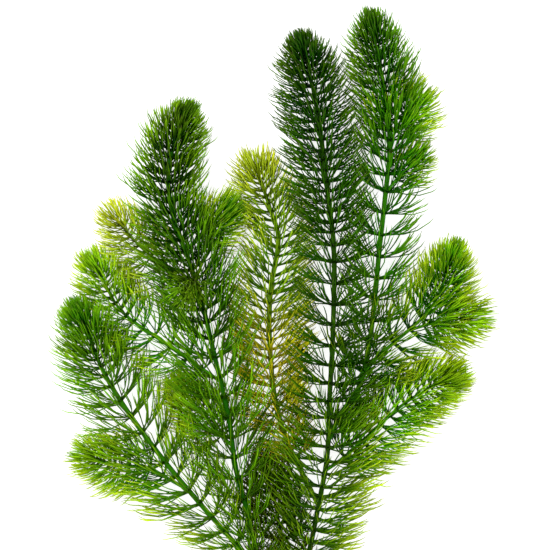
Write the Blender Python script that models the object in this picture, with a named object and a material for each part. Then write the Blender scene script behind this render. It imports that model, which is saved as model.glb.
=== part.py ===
"""Hornwort: one branching water plant with thread-like leaves in whorls, lying on its side as cut.

Metres, +Z up. The plant lies on the plane Z = 0. +Y runs from the cut stem to the growing tips, and the
origin is on that plane, under the middle of the plant. Each shoot is one closed solid: its stem, with a
whorl of leaves drawn out of the stem at every node. A side shoot starts clear of the stem that bears it.
"""

import math
import random
from dataclasses import dataclass

import bmesh
import bpy
import numpy as np
from mathutils import Vector
from mathutils.geometry import interpolate_bezier

# The middle of the plant's outline, as measured from the point that the stems' routes are measured from.
ROUTE_ORIGIN = Vector((-0.00153, -0.02695, 0.0))

# Stems: circumscribed radius of a strong and of a slender stem, and the share left at the tip.
STRONG_STEM = 0.00115
SLENDER_STEM = 0.00085
TIP_STEM_SHARE = 0.45
TAPER_LENGTH = 0.050
STEM_SIDES = 5
BARE_FOOT = 0.014

# Whorls: their spacing along an old stem and in a growing tip, and the height of one on the stem.
OLD_SPACING = 0.0092
TIP_SPACING = 0.0032
TIP_LENGTH = 0.045
OLD_BAND = 0.0020
TIP_BAND = 0.0012
FIRST_WHORL = 0.0075
LAST_WHORL = 0.0035

# Leaves: length and lean from the stem at the very tip and full grown, and how much longer old ones are.
LEAF_LENGTH = 0.0240
TIP_LEAF_LENGTH = 0.0030
OLD_LEAF_GAIN = 0.20
OLD_LEAF_FROM = 0.050
OLD_LEAF_OVER = 0.100
LEAF_ANGLE = math.radians(58)
TIP_LEAF_ANGLE = math.radians(12)
LEAF_SPREAD_AT = 0.015
LENGTH_VARIATION = 0.10
ANGLE_VARIATION = math.radians(6)

# Room between two shoots, and what a leaf tries before it is left off: turned a little, then shorter.
CLEARANCE = 0.0004
LEAF_ROOT_RADIUS = 0.0013
DODGES = (0.0, 0.14, -0.14, 0.28, -0.28)
SHORTER = (1.0, 0.8, 0.62, 0.46, 0.32)
SEED = 7

DEEP_GREEN = (0.012, 0.060, 0.006)
LEAF_GREEN = (0.050, 0.190, 0.012)
LIME_GREEN = (0.170, 0.340, 0.020)
YELLOW_GREEN = (0.360, 0.410, 0.030)
OLIVE = (0.130, 0.140, 0.015)
LEAF_ROUGHNESS = 0.55


@dataclass
class Shoot:
    """One shoot: the points its stem passes, from its foot to its tip, and the shoot that bears it.

    leaf is the share of the full leaf length, and grown_at how far from the tip its leaves reach that.
    """

    name: str
    bearer: str
    colour: tuple
    route: list
    leaf: float = 1.0
    stem: float = STRONG_STEM
    grown_at: float = 0.025


SHOOTS = [
    Shoot("main_shoot", "", DEEP_GREEN, [
        (0.001, -0.177, 0.006), (0.0045, -0.163, 0.008), (0.008, -0.151, 0.010),
        (0.012, -0.140, 0.012), (0.016, -0.126, 0.015), (0.020, -0.106, 0.018),
        (0.024, -0.083, 0.020), (0.025, -0.057, 0.022), (0.0265, -0.030, 0.022), (0.027, 0.012, 0.022),
        (0.024, 0.039, 0.022), (0.0203, 0.069, 0.022), (0.0158, 0.093, 0.021), (0.0105, 0.1115, 0.020)],
        leaf=0.95),
    Shoot("left_shoot", "main_shoot", DEEP_GREEN, [
        (0.0075, -0.1535, 0.0095), (-0.001, -0.1455, 0.011), (-0.006, -0.137, 0.0125),
        (-0.009, -0.126, 0.014),
        (-0.013, -0.108, 0.017), (-0.018, -0.089, 0.019), (-0.021, -0.067, 0.021),
        (-0.0285, -0.034, 0.022), (-0.0335, -0.013, 0.022), (-0.040, 0.008, 0.022),
        (-0.046, 0.024, 0.022), (-0.049, 0.044, 0.022), (-0.0455, 0.0635, 0.022), (-0.0385, 0.0785, 0.021)]),
    Shoot("right_shoot", "main_shoot", LEAF_GREEN, [
        (0.025, -0.076, 0.020), (0.0305, -0.0635, 0.017), (0.038, -0.053, 0.016),
        (0.043, -0.0345, 0.016), (0.0455, -0.015, 0.016), (0.048, 0.011, 0.016), (0.0505, 0.034, 0.017),
        (0.053, 0.062, 0.018), (0.0513, 0.080, 0.018), (0.0472, 0.101, 0.018), (0.0436, 0.1213, 0.018)]),
    Shoot("lower_left_shoot", "main_shoot", LEAF_GREEN, [
        (0.0035, -0.1665, 0.0075), (-0.0025, -0.1535, 0.0095), (-0.009, -0.140, 0.011),
        (-0.0165, -0.1265, 0.013), (-0.033, -0.107, 0.016),
        (-0.049, -0.088, 0.017), (-0.067, -0.064, 0.017), (-0.079, -0.0445, 0.016),
        (-0.0872, -0.0245, 0.016), (-0.0935, -0.0110, 0.016)]),
    Shoot("middle_shoot", "main_shoot", YELLOW_GREEN, [
        (0.020, -0.106, 0.018), (0.014, -0.094, 0.013), (0.007, -0.080, 0.011), (0.0005, -0.060, 0.010),
        (-0.0025, -0.030, 0.010), (-0.002, -0.007, 0.010), (0.0015, 0.017, 0.010),
        (-0.003, 0.033, 0.010), (-0.008, 0.048, 0.010), (-0.010, 0.0615, 0.010)], leaf=0.85),
    Shoot("right_branch", "right_shoot", LIME_GREEN, [
        (0.039, -0.052, 0.016), (0.044, -0.041, 0.015), (0.055, -0.031, 0.015), (0.0685, -0.019, 0.015),
        (0.076, -0.008, 0.015), (0.0805, 0.006, 0.016), (0.084, 0.016, 0.016)],
        stem=SLENDER_STEM, grown_at=0.018),
    Shoot("left_branch", "left_shoot", LIME_GREEN, [
        (-0.027, -0.042, 0.022), (-0.036, -0.0395, 0.017), (-0.054, -0.030, 0.012),
        (-0.071, -0.0165, 0.010), (-0.080, -0.001, 0.010), (-0.0875, 0.0125, 0.010)],
        leaf=0.92, stem=SLENDER_STEM, grown_at=0.018),
    Shoot("lower_right_branch", "main_shoot", LIME_GREEN, [
        (0.0235, -0.090, 0.019), (0.0305, -0.085, 0.015), (0.041, -0.076, 0.012),
        (0.0575, -0.061, 0.011), (0.074, -0.0505, 0.011), (0.0905, -0.0425, 0.011)],
        stem=SLENDER_STEM, grown_at=0.018),
    Shoot("upper_left_branch", "left_shoot", YELLOW_GREEN, [
        (-0.036, -0.005, 0.022), (-0.044, -0.002, 0.019), (-0.054, 0.006, 0.014),
        (-0.0645, 0.0155, 0.011), (-0.0725, 0.025, 0.010), (-0.0795, 0.0345, 0.010)],
        leaf=0.75, stem=SLENDER_STEM, grown_at=0.018),
    Shoot("inner_left_branch", "left_shoot", LEAF_GREEN, [
        (-0.0415, 0.0115, 0.022), (-0.033, 0.018, 0.019), (-0.0245, 0.026, 0.016),
        (-0.0185, 0.0325, 0.015), (-0.0160, 0.0385, 0.015)],
        leaf=0.85, stem=SLENDER_STEM, grown_at=0.018),
    Shoot("low_left_branch", "lower_left_shoot", LIME_GREEN, [
        (-0.040, -0.0995, 0.017), (-0.049, -0.094, 0.014), (-0.059, -0.089, 0.012),
        (-0.073, -0.0875, 0.011), (-0.0855, -0.0842, 0.011), (-0.0955, -0.0822, 0.011)],
        leaf=0.92, stem=SLENDER_STEM, grown_at=0.018),
    Shoot("hidden_left_branch", "left_shoot", LIME_GREEN, [
        (-0.020, -0.079, 0.020), (-0.0245, -0.074, 0.015), (-0.0345, -0.063, 0.011),
        (-0.042, -0.0545, 0.010), (-0.050, -0.047, 0.010)], leaf=0.85, stem=SLENDER_STEM, grown_at=0.018),
    Shoot("upper_right_twig", "right_shoot", YELLOW_GREEN, [
        (0.053, 0.060, 0.018), (0.057, 0.0695, 0.016), (0.064, 0.0795, 0.015), (0.0725, 0.0885, 0.015)],
        leaf=0.8, stem=SLENDER_STEM, grown_at=0.018),
    Shoot("middle_right_twig", "right_shoot", LIME_GREEN, [
        (0.0515, 0.037, 0.017), (0.0555, 0.0435, 0.015), (0.064, 0.052, 0.014), (0.0735, 0.060, 0.014)],
        leaf=0.75, stem=SLENDER_STEM, grown_at=0.018),
    Shoot("right_branch_fork", "right_branch", LIME_GREEN, [
        (0.062, -0.026, 0.015), (0.072, -0.0225, 0.014), (0.086, -0.020, 0.013),
        (0.1020, -0.0187, 0.013)], leaf=0.9, stem=SLENDER_STEM, grown_at=0.018),
    Shoot("low_middle_shoot", "main_shoot", OLIVE, [
        (0.009, -0.149, 0.010), (0.004, -0.1255, 0.010), (0.0005, -0.108, 0.010),
        (-0.003, -0.094, 0.010), (-0.006, -0.0795, 0.010)], leaf=0.85, stem=SLENDER_STEM, grown_at=0.018),
    Shoot("upright_twig", "left_shoot", OLIVE, [
        (-0.0375, -0.0025, 0.022), (-0.0385, -0.0055, 0.030), (-0.039, -0.008, 0.039)],
        leaf=0.70, stem=SLENDER_STEM, grown_at=0.008),
    Shoot("middle_twig", "middle_shoot", YELLOW_GREEN, [
        (0.001, -0.062, 0.010), (0.0045, -0.0575, 0.013), (0.009, -0.050, 0.016)],
        leaf=0.65, stem=SLENDER_STEM, grown_at=0.010),
]


def blend(low, high, share):
    """The value a share of the way from low to high, held at both ends."""
    return low + (high - low) * min(max(share, 0.0), 1.0)


def smooth_stem(route, step=0.0005):
    """Points a small step apart on the smooth curve through a route's own points."""
    points = [Vector(p) - ROUTE_ORIGIN for p in route]
    headings = []
    for i, point in enumerate(points):
        before = points[max(i - 1, 0)]
        after = points[min(i + 1, len(points) - 1)]
        headings.append((after - before).normalized())
    stem = [points[0]]
    for a, b, leave, arrive in zip(points, points[1:], headings, headings[1:]):
        third = (b - a).length / 3
        count = max(2, round((b - a).length / step) + 1)
        stem += interpolate_bezier(a, a + leave * third, b - arrive * third, b, count)[1:]
    return stem


class Stem:
    """A stem's smooth line, read by the distance from its foot."""

    def __init__(self, shoot, bearer=None):
        route = list(shoot.route)
        self.bearer = bearer
        if bearer:
            self.foot_on_bearer = bearer.nearest(Vector(route[0]) - ROUTE_ORIGIN)
            route[0] = bearer.at(self.foot_on_bearer) + ROUTE_ORIGIN
        self.points = smooth_stem(route)
        self.lengths = [0.0]
        for a, b in zip(self.points, self.points[1:]):
            self.lengths.append(self.lengths[-1] + (b - a).length)
        self.length = self.lengths[-1]
        self.radius = shoot.stem
        self.sides = self.carried_sides()

    def carried_sides(self):
        """A sideways direction at each point, carried along the stem without twisting."""
        side = (self.points[1] - self.points[0]).cross(Vector((0, 0, 1))).normalized()
        sides = []
        for i in range(len(self.points)):
            along = self.heading_at_point(i)
            side = (side - along * side.dot(along)).normalized()
            sides.append(side)
        return sides

    def heading_at_point(self, i):
        before = self.points[max(i - 1, 0)]
        after = self.points[min(i + 1, len(self.points) - 1)]
        return (after - before).normalized()

    def point_index(self, distance):
        return min(int(np.searchsorted(self.lengths, distance)), len(self.points) - 1)

    def at(self, distance):
        return self.points[self.point_index(distance)].copy()

    def frame(self, distance):
        """The place on the stem, its heading, and two directions across it."""
        i = self.point_index(distance)
        along = self.heading_at_point(i)
        return self.points[i], along, self.sides[i], along.cross(self.sides[i])

    def radius_at(self, distance):
        return self.radius * blend(TIP_STEM_SHARE, 1.0, (self.length - distance) / TAPER_LENGTH)

    def nearest(self, place):
        """The distance along this stem of its point nearest to a place."""
        best = min(range(len(self.points)), key=lambda i: (self.points[i] - place).length)
        return self.lengths[best]


class Room:
    """The tapering rods already in place, so that a new leaf can be kept clear of them."""

    def __init__(self):
        self.rods = np.empty((0, 10))

    def add(self, start, end, start_radius, end_radius, owner, whorl):
        row = [*start, *end, start_radius, end_radius, owner, whorl]
        self.rods = np.vstack([self.rods, row])

    def is_clear(self, start, end, owner, whorl):
        """Whether a leaf from start to end keeps its clearance from every rod it doesn't grow on."""
        own = self.rods[:, 8] == owner
        others = self.rods[~(own & ((self.rods[:, 9] == whorl) | (self.rods[:, 9] < 0)))]
        if not len(others):
            return True
        a = np.array(start)
        along = np.array(end) - a
        b = others[:, 0:3]
        other_along = others[:, 3:6] - b
        gap = a - b
        aa = along @ along
        bb = np.einsum("ij,ij->i", other_along, other_along)
        ab = other_along @ along
        ag = gap @ along
        bg = np.einsum("ij,ij->i", other_along, gap)
        spread = np.maximum(aa * bb - ab * ab, 1e-18)
        s = np.clip((ab * bg - ag * bb) / spread, 0, 1)
        t = np.clip((ab * s + bg) / bb, 0, 1)
        s = np.clip((ab * t - ag) / aa, 0, 1)
        apart = np.linalg.norm(gap + s[:, None] * along - t[:, None] * other_along, axis=1)
        thick = LEAF_ROOT_RADIUS * (1 - s) + others[:, 6] * (1 - t) + others[:, 7] * t
        return bool((apart > thick + CLEARANCE).all())


def whorl_places(stem):
    """The distances from the foot at which the whorls sit, close together in the growing tip."""
    first = BARE_FOOT if stem.bearer is None else FIRST_WHORL
    places = []
    from_tip = LAST_WHORL
    while from_tip < stem.length - first:
        places.append(stem.length - from_tip)
        from_tip += blend(TIP_SPACING, OLD_SPACING, from_tip / TIP_LENGTH)
    return places[::-1]


def ring_places(stem, distance, turn):
    """The corners of the stem's section at a distance from its foot, turned by an angle."""
    centre, _, side, across = stem.frame(distance)
    radius = stem.radius_at(distance)
    angles = [turn + 2 * math.pi * k / STEM_SIDES for k in range(STEM_SIDES)]
    return [centre + (side * math.cos(a) + across * math.sin(a)) * radius for a in angles]


def foot_places(stem):
    """The corners of the stem's foot: square for the cut stem, else flush with the stem that bears it."""
    places = ring_places(stem, 0.0, 0.0)
    if stem.bearer is None:
        return places
    centre, along, _, _ = stem.frame(0.0)
    _, bearer_along, _, _ = stem.bearer.frame(stem.foot_on_bearer)
    outward = (along - bearer_along * along.dot(bearer_along)).normalized()
    face = stem.bearer.radius_at(stem.foot_on_bearer) + CLEARANCE
    slide = [(face - (p - centre).dot(outward)) / along.dot(outward) for p in places]
    return [p + along * s for p, s in zip(places, slide)]


def first_ring(bm, places):
    """The foot of a stem: a closed ring of edges with a flat face across it."""
    ring = bmesh.ops.create_circle(bm, segments=len(places), radius=1.0, cap_ends=False)["verts"]
    for vertex, place in zip(ring, places):
        vertex.co = place
    bmesh.ops.contextual_create(bm, geom=edges_of(bm, ring))
    return ring


def edges_of(bm, ring):
    return [bm.edges.get((a, b)) for a, b in zip(ring, ring[1:] + ring[:1])]


def next_ring(bm, ring, places):
    """Extrudes the open end of a stem to its next section. Returns that ring and the side faces made."""
    made = bmesh.ops.extrude_edge_only(bm, edges=edges_of(bm, ring))["geom"]
    new = {v for v in made if isinstance(v, bmesh.types.BMVert)}
    following = []
    for vertex, place in zip(ring, places):
        grown = next(e.other_vert(vertex) for e in vertex.link_edges if e.other_vert(vertex) in new)
        grown.co = place
        following.append(grown)
    return following, [f for f in made if isinstance(f, bmesh.types.BMFace)]


def laid_on_floor(root, tip):
    """The tip of a leaf that would go under the surface, bent to lie on it at the same length."""
    if tip.z >= 0:
        return tip
    length = (tip - root).length
    level = Vector((tip.x - root.x, tip.y - root.y, 0.0))
    reach = math.sqrt(max(length**2 - root.z**2, (0.3 * length) ** 2))
    flat = root + level.normalized() * reach
    return Vector((flat.x, flat.y, 0.0))


def leaf_tip(root, outward, along, length, angle):
    return laid_on_floor(root, root + (along * math.cos(angle) + outward * math.sin(angle)) * length)


def around(face, centre, side, across):
    """The angle at which a face stands around the stem."""
    out = face.calc_center_median() - centre
    return round(math.atan2(out.dot(across), out.dot(side)) % (2 * math.pi), 4)


def grow_leaves(bm, band, shoot, stem, distance, owner, whorl, room, chance):
    """Draws the middle of each small face of a whorl's band out to a leaf's tip."""
    centre, along, side, across = stem.frame(distance)
    from_tip = stem.length - distance
    full = blend(TIP_LEAF_LENGTH, LEAF_LENGTH * shoot.leaf, from_tip / shoot.grown_at)
    full *= 1 + OLD_LEAF_GAIN * blend(0.0, 1.0, (from_tip - OLD_LEAF_FROM) / OLD_LEAF_OVER)
    lean = blend(TIP_LEAF_ANGLE, LEAF_ANGLE, from_tip / LEAF_SPREAD_AT)
    grown = []
    for face in sorted(band, key=lambda f: around(f, centre, side, across)):
        root = face.calc_center_median()
        outward = root - centre
        outward = (outward - along * outward.dot(along)).normalized()
        length = full * (1 + chance.uniform(-LENGTH_VARIATION, LENGTH_VARIATION))
        angle = lean + chance.uniform(-ANGLE_VARIATION, ANGLE_VARIATION)
        sideways = along.cross(outward)
        for share, dodge in [(s, d) for s in SHORTER for d in DODGES]:
            turned = (outward + sideways * dodge).normalized()
            tip = leaf_tip(root, turned, along, length * share, angle)
            if room.is_clear(root, tip, owner, whorl):
                grown.append((face, root, tip))
                break
    for face, root, tip in grown:
        room.add(root, tip, LEAF_ROOT_RADIUS, 0.0, owner, whorl)
        bmesh.ops.poke(bm, faces=[face])["verts"][0].co = tip


def model_shoot(shoot, stem, owner, room, chance):
    """One shoot as a mesh: the stem ring by ring, with a whorl of leaves at each node."""
    bm = bmesh.new()
    ring = first_ring(bm, foot_places(stem))
    half_turn = math.pi / STEM_SIDES
    for whorl, distance in enumerate(whorl_places(stem)):
        height = blend(TIP_BAND, OLD_BAND, (stem.length - distance) / TIP_LENGTH)
        turn = whorl * half_turn
        ring, _ = next_ring(bm, ring, ring_places(stem, distance - height / 2, turn))
        ring, sides = next_ring(bm, ring, ring_places(stem, distance + height / 2, turn + half_turn))
        band = bmesh.ops.triangulate(bm, faces=sides, quad_method="SHORT_EDGE")["faces"]
        grow_leaves(bm, band, shoot, stem, distance, owner, whorl, room, chance)
    end = bmesh.ops.contextual_create(bm, geom=edges_of(bm, ring))["faces"]
    bmesh.ops.poke(bm, faces=end)["verts"][0].co = stem.at(stem.length)
    bmesh.ops.recalc_face_normals(bm, faces=bm.faces)
    mesh = bpy.data.meshes.new(shoot.name)
    bm.to_mesh(mesh)
    bm.free()
    return mesh


def plant_material(shoot):
    material = bpy.data.materials.new(shoot.name + "_leaf")
    material.use_nodes = True
    shader = material.node_tree.nodes["Principled BSDF"]
    shader.inputs["Base Color"].default_value = (*shoot.colour, 1.0)
    shader.inputs["Roughness"].default_value = LEAF_ROUGHNESS
    shader.inputs["Metallic"].default_value = 0.0
    return material


def clear_scene():
    for obj in list(bpy.data.objects):
        bpy.data.objects.remove(obj)


def main():
    clear_scene()
    collection = bpy.data.collections.new("hornwort")
    bpy.context.scene.collection.children.link(collection)
    stems = {}
    room = Room()
    for owner, shoot in enumerate(SHOOTS):
        stem = Stem(shoot, stems.get(shoot.bearer))
        stems[shoot.name] = stem
        stops = np.linspace(0.0, stem.length, max(3, round(stem.length / 0.004)))
        for a, b in zip(stops, stops[1:]):
            room.add(stem.at(a), stem.at(b), stem.radius_at(a), stem.radius_at(b), owner, -1)
    chance = random.Random(SEED)
    for owner, shoot in enumerate(SHOOTS):
        mesh = model_shoot(shoot, stems[shoot.name], owner, room, chance)
        obj = bpy.data.objects.new(shoot.name, mesh)
        obj.data.materials.append(plant_material(shoot))
        collection.objects.link(obj)


main()
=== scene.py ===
"""Hornwort: one branching water plant with thread-like forked leaves in whorls, lying on its side as cut.

Metres, +Z up. The plant lies on the plane Z = 0, and +Y runs from the cut stem to the growing tips.
Each shoot is one piece, a stem with a whorl of forked leaves at every node, and stands for the plain
solid of the same name.
"""

import math
import random
from dataclasses import dataclass

import bmesh
import bpy
import numpy as np
from bpy.props import FloatProperty, FloatVectorProperty, PointerProperty
from mathutils import Matrix, Vector
from mathutils.geometry import interpolate_bezier


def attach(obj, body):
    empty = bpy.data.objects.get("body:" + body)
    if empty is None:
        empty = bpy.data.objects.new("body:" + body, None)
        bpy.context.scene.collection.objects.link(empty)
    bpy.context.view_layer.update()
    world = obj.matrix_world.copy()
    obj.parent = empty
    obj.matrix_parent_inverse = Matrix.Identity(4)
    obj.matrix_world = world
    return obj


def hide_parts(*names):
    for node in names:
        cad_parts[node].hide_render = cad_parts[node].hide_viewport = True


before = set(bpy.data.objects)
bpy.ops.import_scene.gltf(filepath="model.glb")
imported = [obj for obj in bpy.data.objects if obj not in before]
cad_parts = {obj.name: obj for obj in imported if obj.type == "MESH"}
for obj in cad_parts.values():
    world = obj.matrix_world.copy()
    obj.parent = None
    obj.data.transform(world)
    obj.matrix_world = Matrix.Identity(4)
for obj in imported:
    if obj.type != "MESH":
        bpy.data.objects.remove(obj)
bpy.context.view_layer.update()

bl_info = {
    "name": "Hornwort",
    "version": (1, 0, 0),
    "blender": (4, 5, 0),
    "location": "3D View > Sidebar > Hornwort",
    "description": "Grows a sprig of hornwort, shoot by shoot, with its stage",
    "category": "Add Mesh",
}

# The middle of the plant's outline, as measured from the point that the stems' routes are measured from.
ROUTE_ORIGIN = Vector((-0.00153, -0.02695, 0.0))
STRONG_STEM = 0.00115
SLENDER_STEM = 0.00085
SEED = 11

# The colours of each dress: its stem, then its leaves and their points when young, when old and when aged.
DRESSES = {
    "dark": "dark_bark deep_green leaf_olive moss_green leaf_olive warm_green pale_lime".split(),
    "deep": "deep_bark deep_green lime_green moss_green leaf_lime warm_green lime_green".split(),
    "green": "green_bark deep_green leaf_lime leaf_green leaf_lime warm_green leaf_lime".split(),
    "warm": "green_bark leaf_green lime_green warm_green lime_green warm_green pale_lime".split(),
    "fresh": "fresh_bark fresh_green pale_lime leaf_green pale_lime warm_green lime_green".split(),
    "lime": "fresh_bark lime_green pale_lime fresh_green pale_lime warm_green lime_green".split(),
    "pale": "lime_bark dull_lime yellow_green spring_green yellow_green ochre ochre".split(),
    "soft": "green_bark soft_green leaf_lime soft_green olive soft_green olive".split(),
    "olive": "dark_bark moss_green olive dark_olive olive dark_olive olive".split(),
}


@dataclass
class Shoot:
    """One shoot: the points its stem passes, from its foot to its tip, and the shoot that bears it.

    slot names a slot of material and is not used; dress is its set of colours. leaf is the share of the full
    leaf length, and leaves the number of them in a whorl. tuft says how loose the growing tip is: 1 is a
    dense dome.
    opening is how far from the tip the whorls come apart, and spacing the share of their full distance that
    they reach, which foot_spacing changes near the foot. lean and curl are shares of those angles, and droop
    is the share of the old leaves' extra lean. Leaves are longer from longer_from on, have their old colours
    from old_from on and start to have their aged ones at aged_from, all measured from the tip. bare is the
    length of foot without leaves, and stem the stem's radius.
    """

    name: str
    bearer: str
    slot: str
    dress: str
    route: list
    leaf: float = 1.0
    leaves: int = 13
    tuft: float = 1.0
    opening: float = 0.030
    spacing: float = 1.0
    lean: float = 1.0
    curl: float = 1.0
    longer_from: float = 0.050
    droop: float = 1.0
    foot_spacing: float = 1.0
    bare: float = 0.0065
    stem: float = STRONG_STEM
    old_from: float = 0.050
    aged_from: float = 0.120


SHOOTS = [
    Shoot("main_shoot", "", "deep_green_leaf", "dark", [
        (0.001, -0.177, 0.006), (0.0045, -0.163, 0.008), (0.008, -0.151, 0.010), (0.012, -0.140, 0.012),
        (0.016, -0.126, 0.015), (0.020, -0.106, 0.018), (0.024, -0.083, 0.020), (0.025, -0.057, 0.022),
        (0.0265, -0.030, 0.022), (0.027, 0.012, 0.022), (0.024, 0.039, 0.022), (0.0203, 0.069, 0.022),
        (0.0158, 0.093, 0.021), (0.0105, 0.1115, 0.020)],
        leaf=0.94, leaves=16, opening=0.090, lean=1.11, curl=0.85, longer_from=0.115, droop=0.4,
        foot_spacing=0.54, old_from=0.100, aged_from=0.155),
    Shoot("left_shoot", "main_shoot", "deep_green_leaf", "deep", [
        (0.0075, -0.1535, 0.0095), (-0.001, -0.1455, 0.011), (-0.006, -0.137, 0.0125),
        (-0.009, -0.126, 0.014), (-0.013, -0.108, 0.017), (-0.018, -0.089, 0.019),
        (-0.021, -0.067, 0.021), (-0.0285, -0.034, 0.022), (-0.0335, -0.013, 0.022),
        (-0.040, 0.008, 0.022), (-0.046, 0.024, 0.022), (-0.049, 0.044, 0.022), (-0.0455, 0.0635, 0.022),
        (-0.0385, 0.0785, 0.021)],
        leaves=15, opening=0.095, spacing=0.92, lean=0.94, longer_from=0.060, droop=-0.4, foot_spacing=1.10,
        old_from=0.090, aged_from=0.100),
    Shoot("right_shoot", "main_shoot", "green_leaf", "green", [
        (0.025, -0.076, 0.020), (0.0305, -0.0635, 0.017), (0.038, -0.053, 0.016), (0.043, -0.0345, 0.016),
        (0.0455, -0.015, 0.016), (0.048, 0.011, 0.016), (0.0505, 0.034, 0.017), (0.053, 0.062, 0.018),
        (0.0513, 0.080, 0.018), (0.0472, 0.101, 0.018), (0.0436, 0.1213, 0.018)],
        leaf=0.94, leaves=14, opening=0.066, spacing=1.04, lean=0.95, curl=1.05, longer_from=0.100,
        droop=0.0, old_from=0.080),
    Shoot("lower_left_shoot", "main_shoot", "green_leaf", "warm", [
        (0.0035, -0.1665, 0.0075), (-0.0025, -0.1535, 0.0095), (-0.009, -0.140, 0.011),
        (-0.0165, -0.1265, 0.013), (-0.033, -0.107, 0.016), (-0.049, -0.088, 0.017),
        (-0.067, -0.064, 0.017), (-0.079, -0.0445, 0.016), (-0.0872, -0.0245, 0.016),
        (-0.0935, -0.0110, 0.016)],
        leaf=0.98, tuft=1.2, opening=0.033, spacing=0.96, lean=0.92, curl=0.95, longer_from=0.015, droop=0.3,
        foot_spacing=0.90, aged_from=0.060),
    Shoot("middle_shoot", "main_shoot", "yellow_leaf", "pale", [
        (0.020, -0.106, 0.018), (0.014, -0.094, 0.013), (0.007, -0.080, 0.011), (0.0005, -0.060, 0.010),
        (-0.0025, -0.030, 0.010), (-0.002, -0.007, 0.010), (0.0015, 0.017, 0.010), (-0.003, 0.033, 0.010),
        (-0.008, 0.048, 0.010), (-0.010, 0.0615, 0.010)],
        leaf=0.90, leaves=10, tuft=1.7, opening=0.036, spacing=0.45, lean=0.95, curl=0.45, bare=0.024,
        old_from=0.040, aged_from=0.070),
    Shoot("right_branch", "right_shoot", "lime_leaf", "fresh", [
        (0.039, -0.052, 0.016), (0.044, -0.041, 0.015), (0.055, -0.031, 0.015), (0.0685, -0.019, 0.015),
        (0.076, -0.008, 0.015), (0.0805, 0.006, 0.016), (0.084, 0.016, 0.016)],
        tuft=1.2, stem=SLENDER_STEM),
    Shoot("left_branch", "left_shoot", "lime_leaf", "lime", [
        (-0.0255, -0.049, 0.0215), (-0.036, -0.0415, 0.016), (-0.054, -0.0292, 0.012),
        (-0.071, -0.0165, 0.010), (-0.080, -0.001, 0.010), (-0.0875, 0.0125, 0.010)],
        leaf=0.93, leaves=11, tuft=1.4, opening=0.040, stem=SLENDER_STEM),
    Shoot("lower_right_branch", "main_shoot", "lime_leaf", "lime", [
        (0.0235, -0.090, 0.019), (0.0305, -0.085, 0.015), (0.041, -0.076, 0.012), (0.0575, -0.061, 0.011),
        (0.074, -0.0505, 0.011), (0.0905, -0.0425, 0.011)],
        leaf=0.94, leaves=14, tuft=1.5, spacing=0.58, stem=SLENDER_STEM),
    Shoot("upper_left_branch", "left_shoot", "yellow_leaf", "pale", [
        (-0.036, -0.005, 0.022), (-0.044, -0.002, 0.019), (-0.054, 0.006, 0.014),
        (-0.0645, 0.0155, 0.011), (-0.0725, 0.025, 0.010), (-0.0795, 0.0345, 0.010)],
        leaf=0.92, leaves=7, tuft=1.5, stem=SLENDER_STEM),
    Shoot("inner_left_branch", "left_shoot", "green_leaf", "fresh", [
        (-0.0415, 0.0115, 0.022), (-0.033, 0.018, 0.019), (-0.0245, 0.026, 0.016),
        (-0.0185, 0.0325, 0.015), (-0.0160, 0.0385, 0.015)],
        leaf=0.92, tuft=1.6, stem=SLENDER_STEM, old_from=0.025),
    Shoot("low_left_branch", "lower_left_shoot", "lime_leaf", "lime", [
        (-0.040, -0.0995, 0.017), (-0.049, -0.094, 0.014), (-0.059, -0.089, 0.012),
        (-0.073, -0.0875, 0.011), (-0.0855, -0.0842, 0.011), (-0.0955, -0.0822, 0.011)],
        leaf=0.95, leaves=10, tuft=1.4, stem=SLENDER_STEM, old_from=0.040),
    Shoot("hidden_left_branch", "left_shoot", "lime_leaf", "lime", [
        (-0.020, -0.079, 0.020), (-0.0245, -0.074, 0.015), (-0.0345, -0.063, 0.011),
        (-0.042, -0.0545, 0.010), (-0.050, -0.047, 0.010)],
        leaf=0.9, tuft=1.4, stem=SLENDER_STEM, old_from=0.080),
    Shoot("upper_right_twig", "right_shoot", "yellow_leaf", "lime", [
        (0.053, 0.060, 0.018), (0.057, 0.0695, 0.016), (0.064, 0.0795, 0.015), (0.0725, 0.0885, 0.015)],
        leaf=1.02, leaves=9, tuft=1.5, lean=1.15, stem=SLENDER_STEM, old_from=0.020),
    Shoot("middle_right_twig", "right_shoot", "lime_leaf", "fresh", [
        (0.0515, 0.037, 0.017), (0.0555, 0.0435, 0.015), (0.064, 0.052, 0.014), (0.0735, 0.060, 0.014)],
        leaf=0.8, leaves=9, tuft=1.6, stem=SLENDER_STEM, old_from=0.030),
    Shoot("right_branch_fork", "right_branch", "lime_leaf", "lime", [
        (0.062, -0.026, 0.015), (0.072, -0.0225, 0.014), (0.086, -0.020, 0.013), (0.1020, -0.0187, 0.013)],
        leaf=1.02, leaves=9, tuft=1.6, stem=SLENDER_STEM),
    Shoot("low_middle_shoot", "main_shoot", "olive_leaf", "olive", [
        (0.009, -0.149, 0.010), (0.004, -0.1255, 0.010), (0.0005, -0.108, 0.010), (-0.003, -0.094, 0.010),
        (-0.006, -0.0795, 0.010)],
        leaf=0.85, tuft=1.4, stem=SLENDER_STEM),
    Shoot("upright_twig", "left_shoot", "olive_leaf", "soft", [
        (-0.0375, -0.0025, 0.022), (-0.0385, -0.0055, 0.030), (-0.039, -0.008, 0.039)],
        leaf=1.12, tuft=0.7, lean=1.15, curl=0.7, stem=SLENDER_STEM),
    Shoot("middle_twig", "middle_shoot", "yellow_leaf", "pale", [
        (0.001, -0.062, 0.010), (0.0045, -0.0575, 0.013), (0.009, -0.050, 0.016)],
        leaves=12, stem=SLENDER_STEM),
]


def length_of(name, default, about):
    return FloatProperty(name=name, description=about, default=default, unit="LENGTH", precision=5)


def number_of(name, default, about):
    return FloatProperty(name=name, description=about, default=default)


def angle_of(name, degrees, about):
    return FloatProperty(name=name, description=about, default=math.radians(degrees), subtype="ANGLE")


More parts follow.
